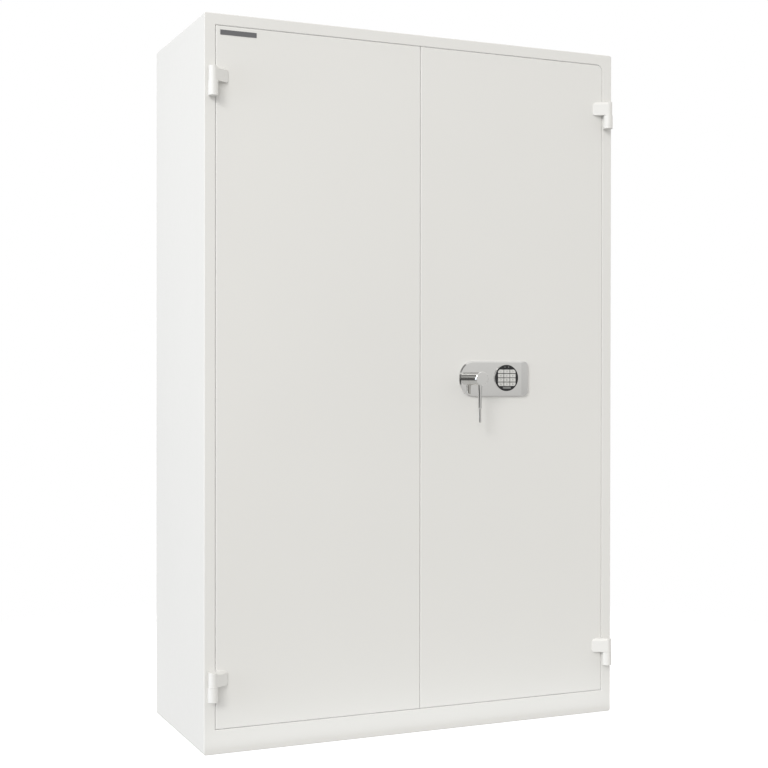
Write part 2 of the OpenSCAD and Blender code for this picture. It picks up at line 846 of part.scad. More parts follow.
module left_bolt_bottom() {
    translate([bolt_x, 0, door_z0 + rod_setback]) mirror([0, 0, 1]) left_bolt(0);
}

module left_bolt_guides() {
    color(ZINC) for (d = [guide_from_edge, inner_guide]) {
        guide(bolt_x, door_z1 - d);
        guide(bolt_x, door_z0 + d);
    }
}

// The bare plate on the left door
module nameplate() {
    x = -door_x + nameplate_side;
    z = door_z1 - nameplate_top;
    color(BLACK) slab(x, x + nameplate_w, front_y - nameplate_t, front_y, z - nameplate_h, z);
}

module right_skin() {
    color(PAINT) difference() {
        door_skin(door_corner_r);
        at_handle() bar(spindle_hole, -skin_t - past, past);
        edge_slot(rod_top_x, door_z1, rod_play);
        edge_slot(rod_bottom_x, door_z0, rod_play);
    }
}

module right_board() {
    color(BOARD) difference() {
        door_board(door_corner_r);
        at_handle() bar(spindle_hole, -work_d0 - past, past);
    }
}

// The inner cover of the right door, which carries the spindle's inner end
module right_cover() {
    color(INNER_PAINT) difference() {
        door_cover(door_corner_r);
        at_handle() bar(spindle_sq + 2 * spindle_play, -door_t - past, -work_d1 + past);
    }
}

// The plate's outline, drawn in by inset
module plate_2d(inset) {
    rounded_2d(
        -plate_left + inset, keypad_dx + plate_right - inset,
        -plate_h / 2 + inset, plate_h / 2 - inset,
        plate_left_r - inset, plate_right_r - inset
    );
}

// The plate's body: a bevel all round, and a slope down to its right end
module plate_block() {
    shoulder = plate_t - plate_bevel / 2;
    x1 = keypad_dx + plate_right;
    h = plate_h / 2 + past;
    difference() {
        union() {
            sheet(front_y - shoulder, front_y) plate_2d(0);
            hull() {
                sheet(front_y - shoulder, front_y - shoulder + thin) plate_2d(0);
                sheet(front_y - plate_t, front_y - plate_t + thin) plate_2d(plate_bevel);
            }
        }
        translate([0, front_y - plate_t, -h]) linear_extrude(2 * h) polygon([
            [x1 - plate_slope_w, 0],
            [x1 - plate_slope_w, -past],
            [x1 + past, -past],
            [x1 + past, plate_slope_t],
        ]);
    }
}

// The chrome plate, with a bore for the spindle, and a seat for the keypad in a raised ring
module lock_plate() {
    seat_d = keypad_d + 2 * key_play;
    color(CHROME) difference() {
        union() {
            at_handle() plate_block();
            at_keypad() bar(seat_d + 2 * ring_w, plate_t - past, plate_t + ring_h);
        }
        at_keypad() bar(seat_d, plate_t, plate_t + ring_h + past);
        at_handle() bar(spindle_d + 2 * spindle_play, -past, plate_t + past);
        at_keypad() bar(keypad_body_d + 2 * key_play, -past, plate_t + past);
    }
}

// The outline of one key of the field, drawn out by grow
module key_2d(k, grow) {
    column = k % KEY_COLUMNS;
    row = floor(k / KEY_COLUMNS);
    x = (column - (KEY_COLUMNS - 1) / 2) * key_pitch_x;
    z = ((KEY_ROWS - 1) / 2 - row) * key_pitch_z + key_lift;
    w = key_pitch_x - key_space + 2 * grow;
    h = key_pitch_z - key_space + 2 * grow;
    intersection() {
        translate([x - w / 2, z - h / 2]) square([w, h]);
        circle(key_field_r + grow);
    }
}

// The outline of the long key below the field
module enter_2d(grow) {
    top = key_lift - KEY_ROWS / 2 * key_pitch_z - key_space / 2 + grow;
    w = enter_w + 2 * grow;
    intersection() {
        translate([-w / 2, top - enter_h - 2 * grow]) square([w, enter_h + 2 * grow]);
        circle(key_field_r + grow);
    }
}

// The black keypad: a bevelled flange on a body in the plate, with a pocket for each key
module keypad_body() {
    bevel = keypad_flange_t / 4;
    color(BLACK) at_keypad() difference() {
        union() {
            bar(keypad_body_d, 0, plate_t);
            bar(keypad_d, plate_t, keypad_face - bevel);
            translate([0, front_y - keypad_face + bevel, 0]) rotate([90, 0, 0])
                cylinder(d1 = keypad_d, d2 = keypad_d - 2 * bevel, h = bevel);
        }
        sheet(front_y - keypad_face - past, front_y - pocket_floor) {
            for (k = [0 : len(KEY_NAMES) - 1]) key_2d(k, key_play);
            enter_2d(key_play);
        }
    }
}

module key_cap(k) {
    top = keypad_face + key_proud;
    color(KEY_GREY) at_keypad() sheet(front_y - top, front_y - top + key_t) key_2d(k, 0);
}

module key_enter() {
    top = keypad_face + key_proud;
    color(BLACK) at_keypad() sheet(front_y - top, front_y - top + key_t) enter_2d(0);
}

// An egg-shaped end of a stretch of the lever: w wide and t thick, at a distance below the axis
module lever_end(w, t, below) {
    translate([0, front_y - lever_out, -below]) scale([w / t, 1, 1]) sphere(d = t, $fn = 32);
}

// A stretch of the lever between two such ends
module lever_stretch(w0, below0, w1, below1) {
    hull() {
        lever_end(w0, lever_t, below0);
        lever_end(w1, lever_t, below1);
    }
}

// The lever's thin round end, below its shoulder
module lever_tip() {
    tip_z = -lever_len + lever_tip_w / 2;
    translate([0, front_y - lever_out, tip_z]) {
        sphere(d = lever_tip_w, $fn = 32);
        cylinder(d = lever_tip_w, h = -lever_shoulder + lever_t - tip_z, $fn = 32);
    }
}

// The hub and the lever that hangs from it, with a square hole for the spindle
module handle() {
    body = hub_out - hub_bevel;
    root = (hub_d - lever_root_w) / 2;
    neck = hub_d;
    color(CHROME) at_handle() difference() {
        union() {
            bar(hub_d, plate_t + hub_gap, body);
            translate([0, front_y - body, 0]) rotate([90, 0, 0])
                cylinder(d1 = hub_d, d2 = hub_d - 2 * hub_bevel, h = hub_bevel);
            lever_stretch(lever_root_w, root, lever_neck_w, neck);
            lever_stretch(lever_neck_w, neck, lever_grip_w, lever_shoulder - lever_t / 2);
            lever_tip();
        }
        square_bar(spindle_sq, 0, spindle_out);
    }
}

// The spindle: square in the hub and the pinion, round where it turns in its bearings
module spindle() {
    color(ZINC) at_handle() {
        bar(spindle_d, -work_d0 - case_wall, plate_t);
        square_bar(spindle_sq, -work_d1, spindle_out);
        bar(spindle_sq, -door_t, -work_d1 + thin);
    }
}

// Half the angle that a pinion tooth fills at radius r
function involute(a) = tan(a) * 180 / PI - a;
function half_tooth(r) =
    tooth_w / pitch_r / 2 * 180 / PI + involute(pressure_angle) - involute(acos(min(1, base_circle_r / r)));

// The flank of a tooth from the root to the tip, as radius and half angle
flank = concat(
    [[root_r, half_tooth(base_circle_r)]],
    [for (i = [0 : flank_steps])
        let (r = base_circle_r + (tip_r - base_circle_r) * i / flank_steps) [r, half_tooth(r)]]
);

pinion_points = [
    for (k = [0 : pinion_teeth - 1], side = [-1, 1], i = [0 : len(flank) - 1])
        let (
            f = flank[side < 0 ? i : len(flank) - 1 - i],
            a = k * 360 / pinion_teeth + side * f[1]
        )
        [f[0] * cos(a), f[0] * sin(a)]
];

// The pinion on the spindle, which drives both rods. Two holes in its rear hub take
// the blocking pin, one at each end of the handle's quarter turn.
module pinion() {
    side_gap = 0.3;
    hub_r = pinion_hub_d / 2;
    hole_r = blocker_pin_d / 2 + rod_play;
    hole_depth = blocker_travel - blocker_gap + rod_play;
    color(ZINC) at_handle() difference() {
        union() {
            sheet(front_y + work_d - pinion_w / 2, front_y + work_d + pinion_w / 2) polygon(pinion_points);
            bar(pinion_hub_d, -work_d1 + side_gap, -work_d0 - case_wall - side_gap);
        }
        square_bar(spindle_sq, -door_t, 0);
        for (turn = [0, -90]) translate([0, front_y + blocker_d, 0]) rotate([0, turn, 0])
            translate([0, 0, hub_r - hole_depth]) cylinder(r = hole_r, h = hole_depth + past);
    }
}

// The toothed edge of a rack, from its lowest tooth to its highest, facing +X
function rack_edge(first, last) = [
    for (k = [first : last], c = [[-1, 0], [-1, 1], [1, 1], [1, 0]])
        let (
            depth_x = c[1] == 1 ? rack_tip : -rack_root,
            half_w = tooth_w / 2 - depth_x * tan(pressure_angle)
        )
        [-pitch_r + depth_x, (k + 0.5) * tooth_pitch + c[0] * half_w]
];

// A rod with its rack, drawn for a rod that rises to a tip at height z1 over the axis
module rod(z1) {
    first = -travel_teeth - 2;
    last = 1;
    x1 = -pitch_r - rack_root;
    x0 = x1 - rod_w;
    z0 = first * tooth_pitch;
    color(ZINC) sheet(front_y + work_d - rod_t / 2, front_y + work_d + rod_t / 2) polygon(concat(
        [[x1, z0]],
        rack_edge(first, last),
        [for (i = [1 : 5]) rod_outline(x0, x1, z0, z1)[i]]
    ));
}

module rod_top() {
    at_handle() rod(door_z1 - rod_setback - lock_z);
}

module rod_bottom() {
    at_handle() rotate([0, 180, 0]) rod(lock_z - door_z0 - rod_setback);
}

module rod_guides() {
    color(ZINC) {
        for (z = [door_z1 - guide_from_edge, (door_z1 + lock_z) / 2]) guide(rod_top_x, z);
        for (z = [door_z0 + guide_from_edge, (door_z0 + lock_z) / 2]) guide(rod_bottom_x, z);
    }
}

// The case round the pinion, open to the door's inner cover, with a way out for each rod
module lock_case() {
    w = case_w / 2;
    h = case_h / 2;
    y0 = front_y + work_d0;
    y1 = front_y + work_d1;
    color(ZINC) at_handle() difference() {
        slab(-w, w, y0, y1, -h, h);
        slab(-w + case_wall, w - case_wall, y0 + case_wall, y1 + past, -h + case_wall, h - case_wall);
        bar(spindle_d + 2 * spindle_play, -work_d0 - case_wall - past, -work_d0 + past);
        for (end = [-1, 1]) {
            x = -end * rod_dx;
            slab(x - rod_w / 2 - rod_play, x + rod_w / 2 + rod_play,
                 front_y + work_d - rod_t / 2 - rod_play, y1 + past,
                 min(end * h - case_wall, end * h) - past, max(end * h + case_wall, end * h) + past);
        }
    }
}

// The blocking pin, drawn out by grow all round
module blocker_pin_shape(grow) {
    translate([0, front_y + blocker_d, pinion_hub_d / 2 + blocker_gap - grow])
        cylinder(d = blocker_pin_d + 2 * grow, h = blocker_pin_len + 2 * grow);
}

// The electric unit over the pinion, bored for its pin
module lock_blocker() {
    z0 = tip_r + past;
    color(BLACK) at_handle() difference() {
        slab(-blocker_w / 2, blocker_w / 2,
             front_y + work_d0 + case_wall, front_y + work_d1, z0, z0 + blocker_h);
        blocker_pin_shape(spindle_play);
    }
}

// The pin that drops into the pinion's hub and holds it
module blocker_pin() {
    color(ZINC) at_handle() blocker_pin_shape(0);
}

side_panel(-1);  // side_left
side_panel(1);  // side_right
top_panel();
floor_panel();
back_panel();
front_frame();
liner_side(-1);  // liner_left
liner_side(1);  // liner_right
liner_level(inside_z1);  // liner_top
liner_level(inside_z0 - inner_t);  // liner_floor
liner_back();
wall_insulation();
door_seal();
shelf_rails();
shelf_clips();
for (i = [1 : shelf_count]) shelf(i);
hinge_pins();
hinge_bases(-1);  // hinge_bases_left
hinge_bases(1);  // hinge_bases_right
for (h = HINGES) hinge_leaf(h[1], h[2]);
left_skin();
left_board();
left_cover();
left_bolt_top();
left_bolt_bottom();
left_bolt_guides();
nameplate();
right_skin();
right_board();
right_cover();
lock_plate();
keypad_body();
for (k = [0 : len(KEY_NAMES) - 1]) key_cap(k);
key_enter();
handle();
spindle();
pinion();
rod_top();
rod_bottom();
rod_guides();
lock_case();
lock_blocker();
blocker_pin();
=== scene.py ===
import json
import math

import bmesh
import bpy
from mathutils import Matrix, Vector


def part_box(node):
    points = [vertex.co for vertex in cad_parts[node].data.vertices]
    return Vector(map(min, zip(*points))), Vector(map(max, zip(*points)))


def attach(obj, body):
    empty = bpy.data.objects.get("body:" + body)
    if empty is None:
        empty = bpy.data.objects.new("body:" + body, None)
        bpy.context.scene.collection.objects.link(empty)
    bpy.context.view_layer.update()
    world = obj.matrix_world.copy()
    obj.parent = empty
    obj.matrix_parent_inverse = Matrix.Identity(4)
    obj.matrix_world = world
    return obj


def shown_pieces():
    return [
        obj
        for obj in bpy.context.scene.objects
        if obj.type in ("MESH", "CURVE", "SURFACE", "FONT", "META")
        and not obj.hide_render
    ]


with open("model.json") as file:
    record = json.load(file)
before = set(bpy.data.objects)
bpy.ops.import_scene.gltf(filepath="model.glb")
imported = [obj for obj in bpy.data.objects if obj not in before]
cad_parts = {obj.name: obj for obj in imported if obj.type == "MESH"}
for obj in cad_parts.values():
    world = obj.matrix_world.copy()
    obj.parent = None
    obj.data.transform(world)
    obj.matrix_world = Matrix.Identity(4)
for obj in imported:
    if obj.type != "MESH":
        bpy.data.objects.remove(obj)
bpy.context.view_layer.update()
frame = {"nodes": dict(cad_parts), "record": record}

# Camera at the photograph's place and angle, with the lens and the sensor in mm
CAMERA_AT = (-1.6433, -3.7732, 0.9970)
CAMERA_YAW = math.radians(23.503)
CAMERA_DOWN = math.radians(0.323)
CAMERA_ROLL = math.radians(0.069)
CAMERA_LENS = 65.11
CAMERA_SENSOR = 36
CAMERA_NEAR = 0.05
CAMERA_FAR = 100

# What the studio looks like from the object, as brightness against sin(elevation)
STUDIO = [(-1.0, 0.55), (-0.12, 0.52), (-0.025, 0.45), (0.008, 0.55), (0.1, 0.56), (0.24, 0.85),
          (0.45, 0.76), (1.0, 1.4)]
# Spots in the studio: a direction, the cosines between which it fades in, and its strength.
# The flat chrome mirrors the bright card towards the camera, its sloping end the dim place beside
# the card, and the hub the camera's dark place, the dim wall over it and the lamp in that wall.
# The lever's side mirrors the dim end of the studio on the left.
SPOTS = [
    ((0.43, -0.90, 0.0), 0.90, 0.97, 0.12),
    ((0.70, -0.71, 0.0), 0.965, 0.99, -0.05),
    ((-0.43, -0.90, -0.04), 0.970, 0.986, -0.4),
    ((0.27, -0.92, 0.28), 0.975, 0.99, -0.25),
    ((-0.15, -0.89, 0.42), 0.93, 0.965, -0.52),
    ((-0.95, -0.31, 0.0), 0.82, 0.92, -0.22),
    ((-0.07, -0.889, 0.4515), 0.9975, 0.9992, 1.4),
]

# The studio's light is a little warm, and what the camera sees behind the object is white
STUDIO_TINT = (1.0, 0.995, 0.98, 1)
WHITE = (1, 1, 1, 1)

# Each soft light's name, place, target, size, watts and colour, and a node that it leaves alone
NEUTRAL = (1, 1, 1)
AREA_LIGHTS = [
    ("side", (-7, -0.8, 1.3), (-0.6, 0, 1.0), (3.0, 3.0), 154, (0.80, 0.87, 1.0), "handle"),
    ("near_left", (-2.1, -2.35, 2.84), (-0.2, -0.25, 1.3), (1.0, 1.0), 9, NEUTRAL, None),
    ("floor_bounce", (0, -0.315, 0.01), (0, -0.315, 1.0), (1.3, 0.07), 0.18, (0.87, 0.94, 1.0), None),
]
# Each far light's name, direction, strength and angle in degrees, and whether chrome mirrors it
SUNS = [
    ("key", (1.3, 1, -0.87), 1.18, 20, True),
    ("front", (0.42, 0.9, -0.3), 0.385, 20, False),
    ("fill", (-1, 0.45, -0.3), 0.36, 50, False),
]

# Half the size of the floor, where it fades out, its colour, and how much it shines by itself
FLOOR_REACH = 2.4
FLOOR_FADE = (1.2, 2.2)
FLOOR_COLOUR = (0.85, 0.85, 0.85)
FLOOR_GLOW = 0.66

# Faces of the chrome plate that look straight ahead stay flat, its other edges are sharp from
# this angle on, and corners that lie this close are one
AHEAD = (0, -1, 0)
FLAT_FROM = math.cos(math.radians(18))
SHARP_FROM = math.radians(22)
WELD_REACH = 0.00001

# Painted light: the paint's colour is lightened where another surface nearly touches it, standing in for
# light that reaches into the lines round the doors: how near that surface stands, and how open the place
# still is there
PAINTED_LIGHT_GAP_REACH = 0.004
PAINTED_LIGHT_GAP_OPEN = 0.6
PAINTED_LIGHT_GAP_SAMPLES = 8

# The values between which a noise texture mostly stays
NOISE_LOW = 0.3
NOISE_HIGH = 0.7

# Size and height of the figures on the keys, and size and place of the two lamps over them
FIGURE_SIZE = 0.0068
STAR_SIZE = 0.0115
FIGURE_RISE = 0.00004
LAMP_RADIUS = 0.0014
LAMP_SEGMENTS = 16
LAMP_RINGS = 10
LAMP_APART = 0.006
LAMP_ABOVE = 0.031


def make_camera():
    data = bpy.data.cameras.new("camera")
    data.lens = CAMERA_LENS
    data.sensor_width = CAMERA_SENSOR
    data.clip_start = CAMERA_NEAR
    data.clip_end = CAMERA_FAR
    camera = bpy.data.objects.new("camera", data)
    turn = Matrix.Rotation(-CAMERA_YAW, 4, "Z")
    tilt = Matrix.Rotation(math.pi / 2 - CAMERA_DOWN, 4, "X")
    roll = Matrix.Rotation(CAMERA_ROLL, 4, "Z")
    camera.matrix_world = Matrix.Translation(CAMERA_AT) @ turn @ tilt @ roll
    bpy.context.scene.collection.objects.link(camera)
    bpy.context.scene.camera = camera


def make_area_light(name, place, target, size, power, colour, skip):
    """A soft light near the object, which may leave one of its nodes alone."""
    data = bpy.data.lights.new(name, "AREA")
    data.shape = "RECTANGLE"
    data.size = size[0]
    data.size_y = size[1]
    data.energy = power
    data.color = colour
    light = bpy.data.objects.new(name, data)
    light.location = place
    aim = Vector(target) - Vector(place)
    light.rotation_euler = aim.to_track_quat("-Z", "Y").to_euler()
    light.visible_camera = False
    bpy.context.scene.collection.objects.link(light)
    if skip:
        unlit = bpy.data.collections.new("unlit_by_" + name)
        unlit.objects.link(frame["nodes"][skip])
        unlit.collection_objects[0].light_linking.link_state = "EXCLUDE"
        light.light_linking.receiver_collection = unlit


def make_sun(name, direction, strength, angle, mirrored):
    """A light from far away that leaves the floor alone, so the floor stays plain."""
    data = bpy.data.lights.new(name, "SUN")
    data.energy = strength
    data.angle = math.radians(angle)
    light = bpy.data.objects.new(name, data)
    light.rotation_euler = Vector(direction).to_track_quat("-Z", "Y").to_euler()
    light.visible_glossy = mirrored
    bpy.context.scene.collection.objects.link(light)
    lit = bpy.data.collections.new("lit_by_" + name)
    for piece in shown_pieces():
        lit.objects.link(piece)
    light.light_linking.receiver_collection = lit


def add_spot(tree, direction, start, end, strength, base):
    """Adds a soft round spot of the given strength to the brightness in base."""
    place = tree.nodes.new("ShaderNodeTexCoord")
    along = tree.nodes.new("ShaderNodeVectorMath")
    along.operation = "DOT_PRODUCT"
    along.inputs[1].default_value = Vector(direction).normalized()
    fade = tree.nodes.new("ShaderNodeMapRange")
    fade.interpolation_type = "SMOOTHSTEP"
    fade.inputs["From Min"].default_value = start
    fade.inputs["From Max"].default_value = end
    fade.inputs["To Max"].default_value = strength
    total = tree.nodes.new("ShaderNodeMath")
    total.operation = "ADD"
    tree.links.new(place.outputs["Generated"], along.inputs[0])
    tree.links.new(along.outputs["Value"], fade.inputs["Value"])
    tree.links.new(fade.outputs[0], total.inputs[0])
    tree.links.new(base, total.inputs[1])
    return total.outputs[0]


def make_world():
    """White behind the object, and a softer studio for what lights it and what it mirrors."""
    world = bpy.data.worlds.new("studio")
    bpy.context.scene.world = world
    world.use_nodes = True
    tree = world.node_tree
    tree.nodes.clear()
    output = tree.nodes.new("ShaderNodeOutputWorld")
    mix = tree.nodes.new("ShaderNodeMixShader")
    path = tree.nodes.new("ShaderNodeLightPath")
    ambient = tree.nodes.new("ShaderNodeBackground")
    white = tree.nodes.new("ShaderNodeBackground")
    place = tree.nodes.new("ShaderNodeTexCoord")
    axes = tree.nodes.new("ShaderNodeSeparateXYZ")
    height = tree.nodes.new("ShaderNodeFloatCurve")
    spread = tree.nodes.new("ShaderNodeMapRange")
    spread.inputs["From Min"].default_value = -1
    curve = height.mapping.curves[0]
    points = [((sine + 1) / 2, brightness) for sine, brightness in STUDIO]
    curve.points[0].location = points[0]
    curve.points[1].location = points[-1]
    for point in points[1:-1]:
        curve.points.new(*point)
    height.mapping.update()
    tree.links.new(place.outputs["Generated"], axes.inputs[0])
    tree.links.new(axes.outputs["Z"], spread.inputs["Value"])
    tree.links.new(spread.outputs[0], height.inputs["Value"])
    total = height.outputs[0]
    for spot in SPOTS:
        total = add_spot(tree, *spot, total)
    tree.links.new(total, ambient.inputs["Strength"])
    ambient.inputs["Color"].default_value = STUDIO_TINT
    white.inputs["Color"].default_value = WHITE
    tree.links.new(path.outputs["Is Camera Ray"], mix.inputs[0])
    tree.links.new(ambient.outputs[0], mix.inputs[1])
    tree.links.new(white.outputs[0], mix.inputs[2])
    tree.links.new(mix.outputs[0], output.inputs["Surface"])


class Material:
    """A Principled material with a few calls for its procedural detail."""

    def __init__(self, name, colour, roughness, metallic=0.0, specular=0.5):
        self.material = bpy.data.materials.new(name)
        self.material.use_nodes = True
        self.tree = self.material.node_tree
        self.shader = self.tree.nodes["Principled BSDF"]
        self.shader.inputs["Base Color"].default_value = (*colour, 1)
        self.shader.inputs["Roughness"].default_value = roughness
        self.shader.inputs["Metallic"].default_value = metallic
        self.shader.inputs["Specular IOR Level"].default_value = specular
        self.place = self.tree.nodes.new("ShaderNodeTexCoord").outputs["Object"]
        self.normal = None

    def noise(self, scale, detail, stretch=(1, 1, 1)):
        """A noise with so many cycles to the metre."""
        mapping = self.tree.nodes.new("ShaderNodeMapping")
        mapping.inputs["Scale"].default_value = stretch
        self.tree.links.new(self.place, mapping.inputs["Vector"])
        noise = self.tree.nodes.new("ShaderNodeTexNoise")
        noise.inputs["Scale"].default_value = scale
        noise.inputs["Detail"].default_value = detail
        self.tree.links.new(mapping.outputs[0], noise.inputs["Vector"])
        return noise.outputs["Fac"]

    def vary_colour(self, source, low, high):
        ramp = self.tree.nodes.new("ShaderNodeValToRGB")
        ramp.color_ramp.elements[0].position = NOISE_LOW
        ramp.color_ramp.elements[1].position = NOISE_HIGH
        ramp.color_ramp.elements[0].color = (*low, 1)
        ramp.color_ramp.elements[1].color = (*high, 1)
        self.tree.links.new(source, ramp.inputs[0])
        self.tree.links.new(ramp.outputs[0], self.shader.inputs["Base Color"])

    def lighten_gaps(self):
        """Painted light: blends the base colour to white between surfaces that nearly touch, in place of
        light reaching into narrow gaps.
        """
        colour = self.shader.inputs["Base Color"].links[0].from_socket
        around = self.tree.nodes.new("ShaderNodeAmbientOcclusion")
        around.samples = PAINTED_LIGHT_GAP_SAMPLES
        around.inputs["Distance"].default_value = PAINTED_LIGHT_GAP_REACH
        painted_gap_light = self.tree.nodes.new("ShaderNodeMapRange")
        painted_gap_light.inputs["From Max"].default_value = PAINTED_LIGHT_GAP_OPEN
        painted_gap_light.inputs["To Min"].default_value = 1
        painted_gap_light.inputs["To Max"].default_value = 0
        mix = self.tree.nodes.new("ShaderNodeMixRGB")
        mix.inputs["Color2"].default_value = WHITE
        self.tree.links.new(around.outputs["AO"], painted_gap_light.inputs["Value"])
        self.tree.links.new(painted_gap_light.outputs[0], mix.inputs["Fac"])
        self.tree.links.new(colour, mix.inputs["Color1"])
        self.tree.links.new(mix.outputs[0], self.shader.inputs["Base Color"])

    def vary_roughness(self, source, low, high):
        spread = self.tree.nodes.new("ShaderNodeMapRange")
        spread.inputs["From Min"].default_value = NOISE_LOW
        spread.inputs["From Max"].default_value = NOISE_HIGH
        spread.inputs["To Min"].default_value = low
        spread.inputs["To Max"].default_value = high
        self.tree.links.new(source, spread.inputs["Value"])
        self.tree.links.new(spread.outputs[0], self.shader.inputs["Roughness"])

    def bump(self, source, height, strength):
        """Raises the surface by up to this height in metres, on top of earlier bumps."""
        bump = self.tree.nodes.new("ShaderNodeBump")
        bump.inputs["Distance"].default_value = height
        bump.inputs["Strength"].default_value = strength
        self.tree.links.new(source, bump.inputs["Height"])
        if self.normal is not None:
            self.tree.links.new(self.normal, bump.inputs["Normal"])
        self.normal = bump.outputs[0]
        self.tree.links.new(self.normal, self.shader.inputs["Normal"])


def shade(colour, factor):
    return tuple(min(1.0, c * factor) for c in colour)


def powder_coat(name, colour, roughness):
    """Sprayed and baked paint: orange peel a few millimetres wide, and a fine grain, with painted light
    in narrow gaps.
    """
    coat = Material(name, colour, roughness)
    clouds = coat.noise(scale=1.3, detail=3)
    patches = coat.noise(scale=60, detail=3)
    peel = coat.noise(scale=260, detail=1)
    grain = coat.noise(scale=1400, detail=2)
    coat.vary_colour(clouds, shade(colour, 0.985), shade(colour, 1.01))
    # Painted light: the base colour turns lighter in narrow gaps such as the lines round the doors
    coat.lighten_gaps()
    coat.vary_roughness(patches, roughness - 0.04, roughness + 0.05)
    coat.bump(peel, height=0.00006, strength=0.6)
    coat.bump(grain, height=0.00002, strength=0.5)
    return coat.material


def mirror_chrome():
    """Polished chrome, which waves a little and is faintly worn in places."""
    chrome = Material("polished_chrome", (0.85, 0.845, 0.83), roughness=0.05, metallic=1)
    wear = chrome.noise(scale=35, detail=4)
    waves = chrome.noise(scale=25, detail=1)
    chrome.vary_roughness(wear, 0.04, 0.09)
    chrome.bump(waves, height=0.00006, strength=0.5)
    return chrome.material


def zinc_plate():
    """Zinc with a spangle of lighter and darker places and fine level lines."""
    zinc = Material("bright_zinc", (0.6, 0.61, 0.64), roughness=0.34, metallic=1)
    spangle = zinc.noise(scale=90, detail=3)
    bloom = zinc.noise(scale=240, detail=3)
    lines = zinc.noise(scale=40, detail=2, stretch=(1, 1, 30))
    zinc.vary_colour(spangle, (0.52, 0.53, 0.57), (0.68, 0.69, 0.7))
    zinc.vary_roughness(bloom, 0.28, 0.45)
    zinc.bump(lines, height=0.00002, strength=0.4)
    return zinc.material


def moulded_plastic(name, colour, roughness):
    """Plastic with the fine grain of its mould."""
    plastic = Material(name, colour, roughness)
    clouds = plastic.noise(scale=30, detail=2)
    patches = plastic.noise(scale=400, detail=2)
    grain = plastic.noise(scale=1800, detail=2)
    plastic.vary_colour(clouds, shade(colour, 0.92), shade(colour, 1.08))
    plastic.vary_roughness(patches, roughness - 0.05, roughness + 0.07)
    plastic.bump(grain, height=0.00002, strength=0.6)
    return plastic.material


def mineral_board(name, colour):
    """Pressed or cast mineral filling with a coarse, speckled surface."""
    board = Material(name, colour, roughness=0.92, specular=0.2)
    speckles = board.noise(scale=160, detail=6)
    crumbs = board.noise(scale=500, detail=5)
    board.vary_colour(speckles, shade(colour, 0.8), shade(colour, 1.1))
    board.bump(crumbs, height=0.0003, strength=0.8)
    return board.material


def seal_rubber():
    """Dull rubber with a rough skin."""
    rubber = Material("seal_rubber", (0.02, 0.02, 0.022), roughness=0.75, specular=0.3)
    patches = rubber.noise(scale=200, detail=3)
    skin = rubber.noise(scale=900, detail=3)
    rubber.vary_roughness(patches, 0.65, 0.88)
    rubber.bump(skin, height=0.00008, strength=0.7)
    return rubber.material


def smoked_lens():
    """The dim grey lens of a small lamp."""
    lens = Material("smoked_lens", (0.3, 0.3, 0.29), roughness=0.2)
    clouds = lens.noise(scale=500, detail=2)
    patches = lens.noise(scale=900, detail=2)
    lens.vary_colour(clouds, (0.25, 0.25, 0.24), (0.35, 0.35, 0.34))
    lens.vary_roughness(patches, 0.12, 0.3)
    return lens.material


def make_materials():
    return {
        "outer_paint": powder_coat("outer_powder_coat", (0.74, 0.73, 0.70), 0.42),
        "inner_paint": powder_coat("inner_powder_coat", (0.62, 0.62, 0.61), 0.46),
        "filling": mineral_board("cast_filling", (0.5, 0.48, 0.42)),
        "fire_board": mineral_board("fire_board", (0.62, 0.59, 0.52)),
        "seal_rubber": seal_rubber(),
        "zinc_steel": zinc_plate(),
        "mirror_chrome": mirror_chrome(),
        "black_plastic": moulded_plastic("black_plastic", (0.012, 0.012, 0.013), 0.38),
        "dark_grey_plastic": moulded_plastic("enter_plastic", (0.19, 0.19, 0.185), 0.35),
        "grey_plastic": moulded_plastic("key_plastic", (0.62, 0.615, 0.59), 0.4),
        "dark_plate": powder_coat("dark_plate", (0.13, 0.13, 0.135), 0.35),
        "digit_ink": moulded_plastic("digit_ink", (0.11, 0.11, 0.11), 0.5),
        "lamp_lens": smoked_lens(),
    }


def dress_nodes(materials):
    """Gives each CAD node the material that its record names."""
    for part in frame["record"]["subparts"]:
        mesh = frame["nodes"][part["node"]].data
        mesh.materials.clear()
        mesh.materials.append(materials[part["material_slot"]])


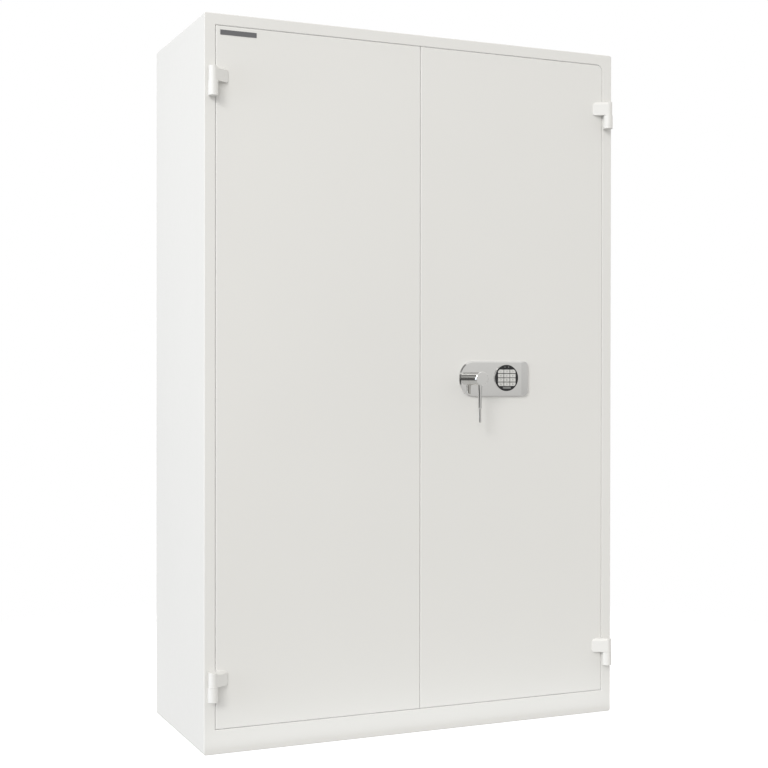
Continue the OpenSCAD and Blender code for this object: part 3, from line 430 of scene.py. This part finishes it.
def smooth_bevel(name):
    """Shades the narrow facets of a round bevel as one curved face."""
    group = bpy.data.node_groups.new("smooth_" + name, "GeometryNodeTree")
    group.interface.new_socket("Geometry", in_out="INPUT", socket_type="NodeSocketGeometry")
    group.interface.new_socket("Geometry", in_out="OUTPUT", socket_type="NodeSocketGeometry")
    start = group.nodes.new("NodeGroupInput")
    end = group.nodes.new("NodeGroupOutput")
    merge = group.nodes.new("GeometryNodeMergeByDistance")
    merge.inputs["Distance"].default_value = WELD_REACH
    shading = group.nodes.new("GeometryNodeSetMeshNormal")
    shading.inputs["Remove Custom"].default_value = True
    angle = group.nodes.new("GeometryNodeInputMeshEdgeAngle")
    steep = group.nodes.new("FunctionNodeCompare")
    steep.operation = "GREATER_THAN"
    steep.inputs["B"].default_value = SHARP_FROM
    normal = group.nodes.new("GeometryNodeInputNormal")
    along = group.nodes.new("ShaderNodeVectorMath")
    along.operation = "DOT_PRODUCT"
    along.inputs[1].default_value = AHEAD
    ahead = group.nodes.new("FunctionNodeCompare")
    ahead.operation = "GREATER_THAN"
    ahead.inputs["B"].default_value = FLAT_FROM
    group.links.new(start.outputs[0], merge.inputs["Geometry"])
    group.links.new(merge.outputs[0], shading.inputs["Mesh"])
    group.links.new(angle.outputs["Unsigned Angle"], steep.inputs["A"])
    group.links.new(steep.outputs[0], shading.inputs["Edge Sharpness"])
    group.links.new(normal.outputs["Normal"], along.inputs[0])
    group.links.new(along.outputs["Value"], ahead.inputs["A"])
    group.links.new(ahead.outputs[0], shading.inputs["Face Sharpness"])
    group.links.new(shading.outputs[0], end.inputs[0])
    modifier = frame["nodes"][name].modifiers.new("smooth_bevel", "NODES")
    modifier.node_group = group


def add_piece(name, mesh, material, body):
    """Puts a mesh of the scene's own on one of the part's bodies."""
    piece = bpy.data.objects.new(name, mesh)
    mesh.materials.clear()
    mesh.materials.append(material)
    bpy.context.scene.collection.objects.link(piece)
    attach(piece, body)


def middle(values):
    return (min(values) + max(values)) / 2


def make_digits(materials):
    """A generic figure on each key, printed a hair above its cap."""
    figures = {"key_star": "*", "key_0": "0", "key_hash": "#"}
    figures.update({f"key_{i}": str(i) for i in range(1, 10)})
    for key, figure in figures.items():
        text = bpy.data.curves.new("figure_" + key, "FONT")
        text.body = figure
        text.size = STAR_SIZE if figure == "*" else FIGURE_SIZE
        text.extrude = FIGURE_RISE
        source = bpy.data.objects.new("text", text)
        bpy.context.scene.collection.objects.link(source)
        bpy.context.view_layer.update()
        mesh = bpy.data.meshes.new_from_object(source)
        bpy.data.objects.remove(source)
        low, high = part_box(key)
        centre = (low + high) / 2
        middle_x = middle([vertex.co.x for vertex in mesh.vertices])
        middle_y = middle([vertex.co.y for vertex in mesh.vertices])
        stand = Matrix.Rotation(math.pi / 2, 4, "X")
        place = Matrix.Translation((centre.x, low.y, centre.z))
        mesh.transform(place @ stand @ Matrix.Translation((-middle_x, -middle_y, 0)))
        add_piece("figure_" + key, mesh, materials["digit_ink"], key + "_cap")


def make_lamp(name, side, material):
    """A small lens over the keys, to the left or right of the keypad's middle."""
    low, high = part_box("keypad_body")
    centre = (low + high) / 2
    build = bmesh.new()
    bmesh.ops.create_uvsphere(build, u_segments=LAMP_SEGMENTS, v_segments=LAMP_RINGS, radius=LAMP_RADIUS)
    mesh = bpy.data.meshes.new(name)
    build.to_mesh(mesh)
    build.free()
    place = (centre.x + side * LAMP_APART, low.y, centre.z + LAMP_ABOVE)
    mesh.transform(Matrix.Translation(place))
    mesh.shade_smooth()
    add_piece(name, mesh, material, "right_door")


def make_stage():
    """A plain white floor that fades out into the white behind the object."""
    build = bmesh.new()
    corners = [(-1, -1), (1, -1), (1, 1), (-1, 1)]
    build.faces.new([build.verts.new((x * FLOOR_REACH, y * FLOOR_REACH, 0)) for x, y in corners])
    mesh = bpy.data.meshes.new("floor")
    build.to_mesh(mesh)
    build.free()
    floor = bpy.data.objects.new("floor", mesh)
    floor.visible_diffuse = False
    floor.visible_glossy = False
    paper = Material("floor_paper", FLOOR_COLOUR, roughness=0.8, specular=0.1)
    paper.shader.inputs["Emission Color"].default_value = WHITE
    paper.shader.inputs["Emission Strength"].default_value = FLOOR_GLOW
    tree = paper.tree
    reach = tree.nodes.new("ShaderNodeVectorMath")
    reach.operation = "LENGTH"
    fade = tree.nodes.new("ShaderNodeMapRange")
    fade.interpolation_type = "SMOOTHSTEP"
    fade.inputs["From Min"].default_value = FLOOR_FADE[0]
    fade.inputs["From Max"].default_value = FLOOR_FADE[1]
    fade.inputs["To Min"].default_value = 1
    fade.inputs["To Max"].default_value = 0
    tree.links.new(paper.place, reach.inputs[0])
    tree.links.new(reach.outputs["Value"], fade.inputs["Value"])
    tree.links.new(fade.outputs[0], paper.shader.inputs["Alpha"])
    mesh.materials.append(paper.material)
    bpy.context.scene.collection.objects.link(floor)


make_camera()
make_world()
for light in AREA_LIGHTS:
    make_area_light(*light)

materials = make_materials()
dress_nodes(materials)
smooth_bevel("lock_plate")
make_digits(materials)
make_lamp("lamp_left", -1, materials["lamp_lens"])
make_lamp("lamp_right", 1, materials["lamp_lens"])
for sun in SUNS:
    make_sun(*sun)
make_stage()

scene = bpy.context.scene
scene.view_settings.view_transform = "Standard"
scene.view_settings.look = "None"
